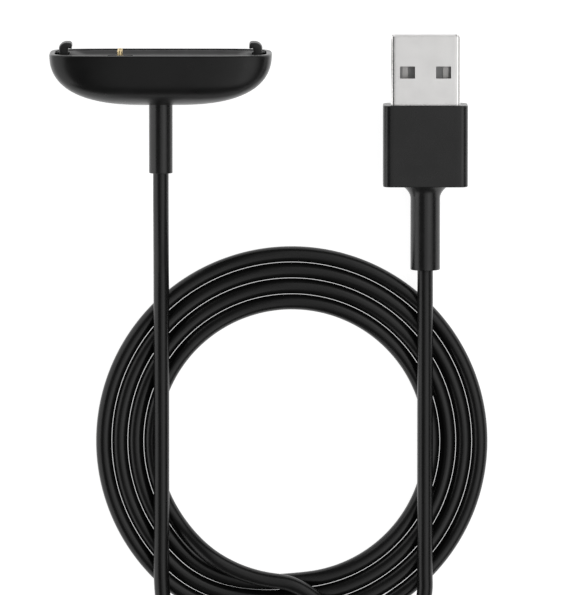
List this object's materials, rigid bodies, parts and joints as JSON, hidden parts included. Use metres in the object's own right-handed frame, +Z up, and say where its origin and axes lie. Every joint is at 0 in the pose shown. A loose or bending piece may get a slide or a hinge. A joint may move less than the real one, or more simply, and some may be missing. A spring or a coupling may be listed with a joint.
{
  "type": "wearable charging cable",
  "caption": "Charging cable for a wrist-worn tracker: boat-shaped snap-in cradle with sprung contacts, coiled black cord and a USB plug.",
  "frame": {"origin": "under the middle of the cradle, on the surface that the cable lies on, half way between its bottom and its hook tips", "axes": "+X along the cradle, from its pin end; +Y out of the cradle's mouth and out of the plug; +Z up from the surface"},
  "size_m": [0.0755, 0.1105, 0.018],
  "materials": {
    "casing_black": "satin moulded",
    "cover_black": "fine matt texture",
    "hook_black": "satin moulded",
    "insulator_black": "matt",
    "gold_plate": "gold plated",
    "spring_steel": "bright drawn",
    "circuit_board": "solder resist",
    "wire_red": "satin",
    "wire_black": "satin",
    "relief_black": "satin elastomer",
    "cord_jacket": "satin elastomer",
    "grip_black": "fine matt elastomer",
    "nickel_plate": "satin nickel plated",
    "tongue_grey": "satin",
    "contact_tin": "tin plated",
    "inner_mold_white": "satin"
  },
  "bodies": {
    "cable": {"dock_shell": "casing_black", "cradle_cover": "cover_black", "pin_block": "insulator_black", "pin_barrel_1": "gold_plate", "pin_barrel_2": "gold_plate", "pin_spring_1": "spring_steel", "pin_spring_2": "spring_steel", "contact_board": "circuit_board", "dock_wire_positive": "wire_red", "dock_wire_negative": "wire_black", "dock_strain_relief": "relief_black", "cord_dock_run": "cord_jacket", "cord_coil": "cord_jacket", "cord_plug_run": "cord_jacket", "plug_strain_relief": "relief_black", "plug_overmold": "grip_black", "plug_shell": "nickel_plate", "plug_tongue": "tongue_grey", "contact_vbus": "contact_tin", "contact_data_minus": "contact_tin", "contact_data_plus": "contact_tin", "contact_ground": "contact_tin", "plug_inner_mold": "inner_mold_white", "plug_crimp": "spring_steel", "plug_wire_positive": "wire_red", "plug_wire_negative": "wire_black"},
    "left_hook": {"hook_left": "hook_black"},
    "right_hook": {"hook_right": "hook_black"},
    "pin_1": {"pin_plunger_1": "gold_plate"},
    "pin_2": {"pin_plunger_2": "gold_plate"}
  },
  "joints": [
    {"name": "hook_left_flex", "type": "hinge", "parent": "cable", "child": "left_hook", "pos_m": [-0.0158, -0.0014, 0.009], "axis": [0, 0, 1], "range_deg": [0, 6], "stiffness_Nm_per_rad": 0.3},
    {"name": "hook_right_flex", "type": "hinge", "parent": "cable", "child": "right_hook", "pos_m": [0.0158, -0.0014, 0.009], "axis": [0, 0, -1], "range_deg": [0, 6], "stiffness_Nm_per_rad": 0.3},
    {"name": "pin_1_press", "type": "slide", "parent": "cable", "child": "pin_1", "axis": [0, -1, 0], "range_m": [0, 0.0008], "stiffness_N_per_m": 600, "springref_m": -0.0004, "deforming": ["pin_spring_1"]},
    {"name": "pin_2_press", "type": "slide", "parent": "cable", "child": "pin_2", "axis": [0, -1, 0], "range_m": [0, 0.0008], "stiffness_N_per_m": 600, "springref_m": -0.0004, "deforming": ["pin_spring_2"]}
  ]
}
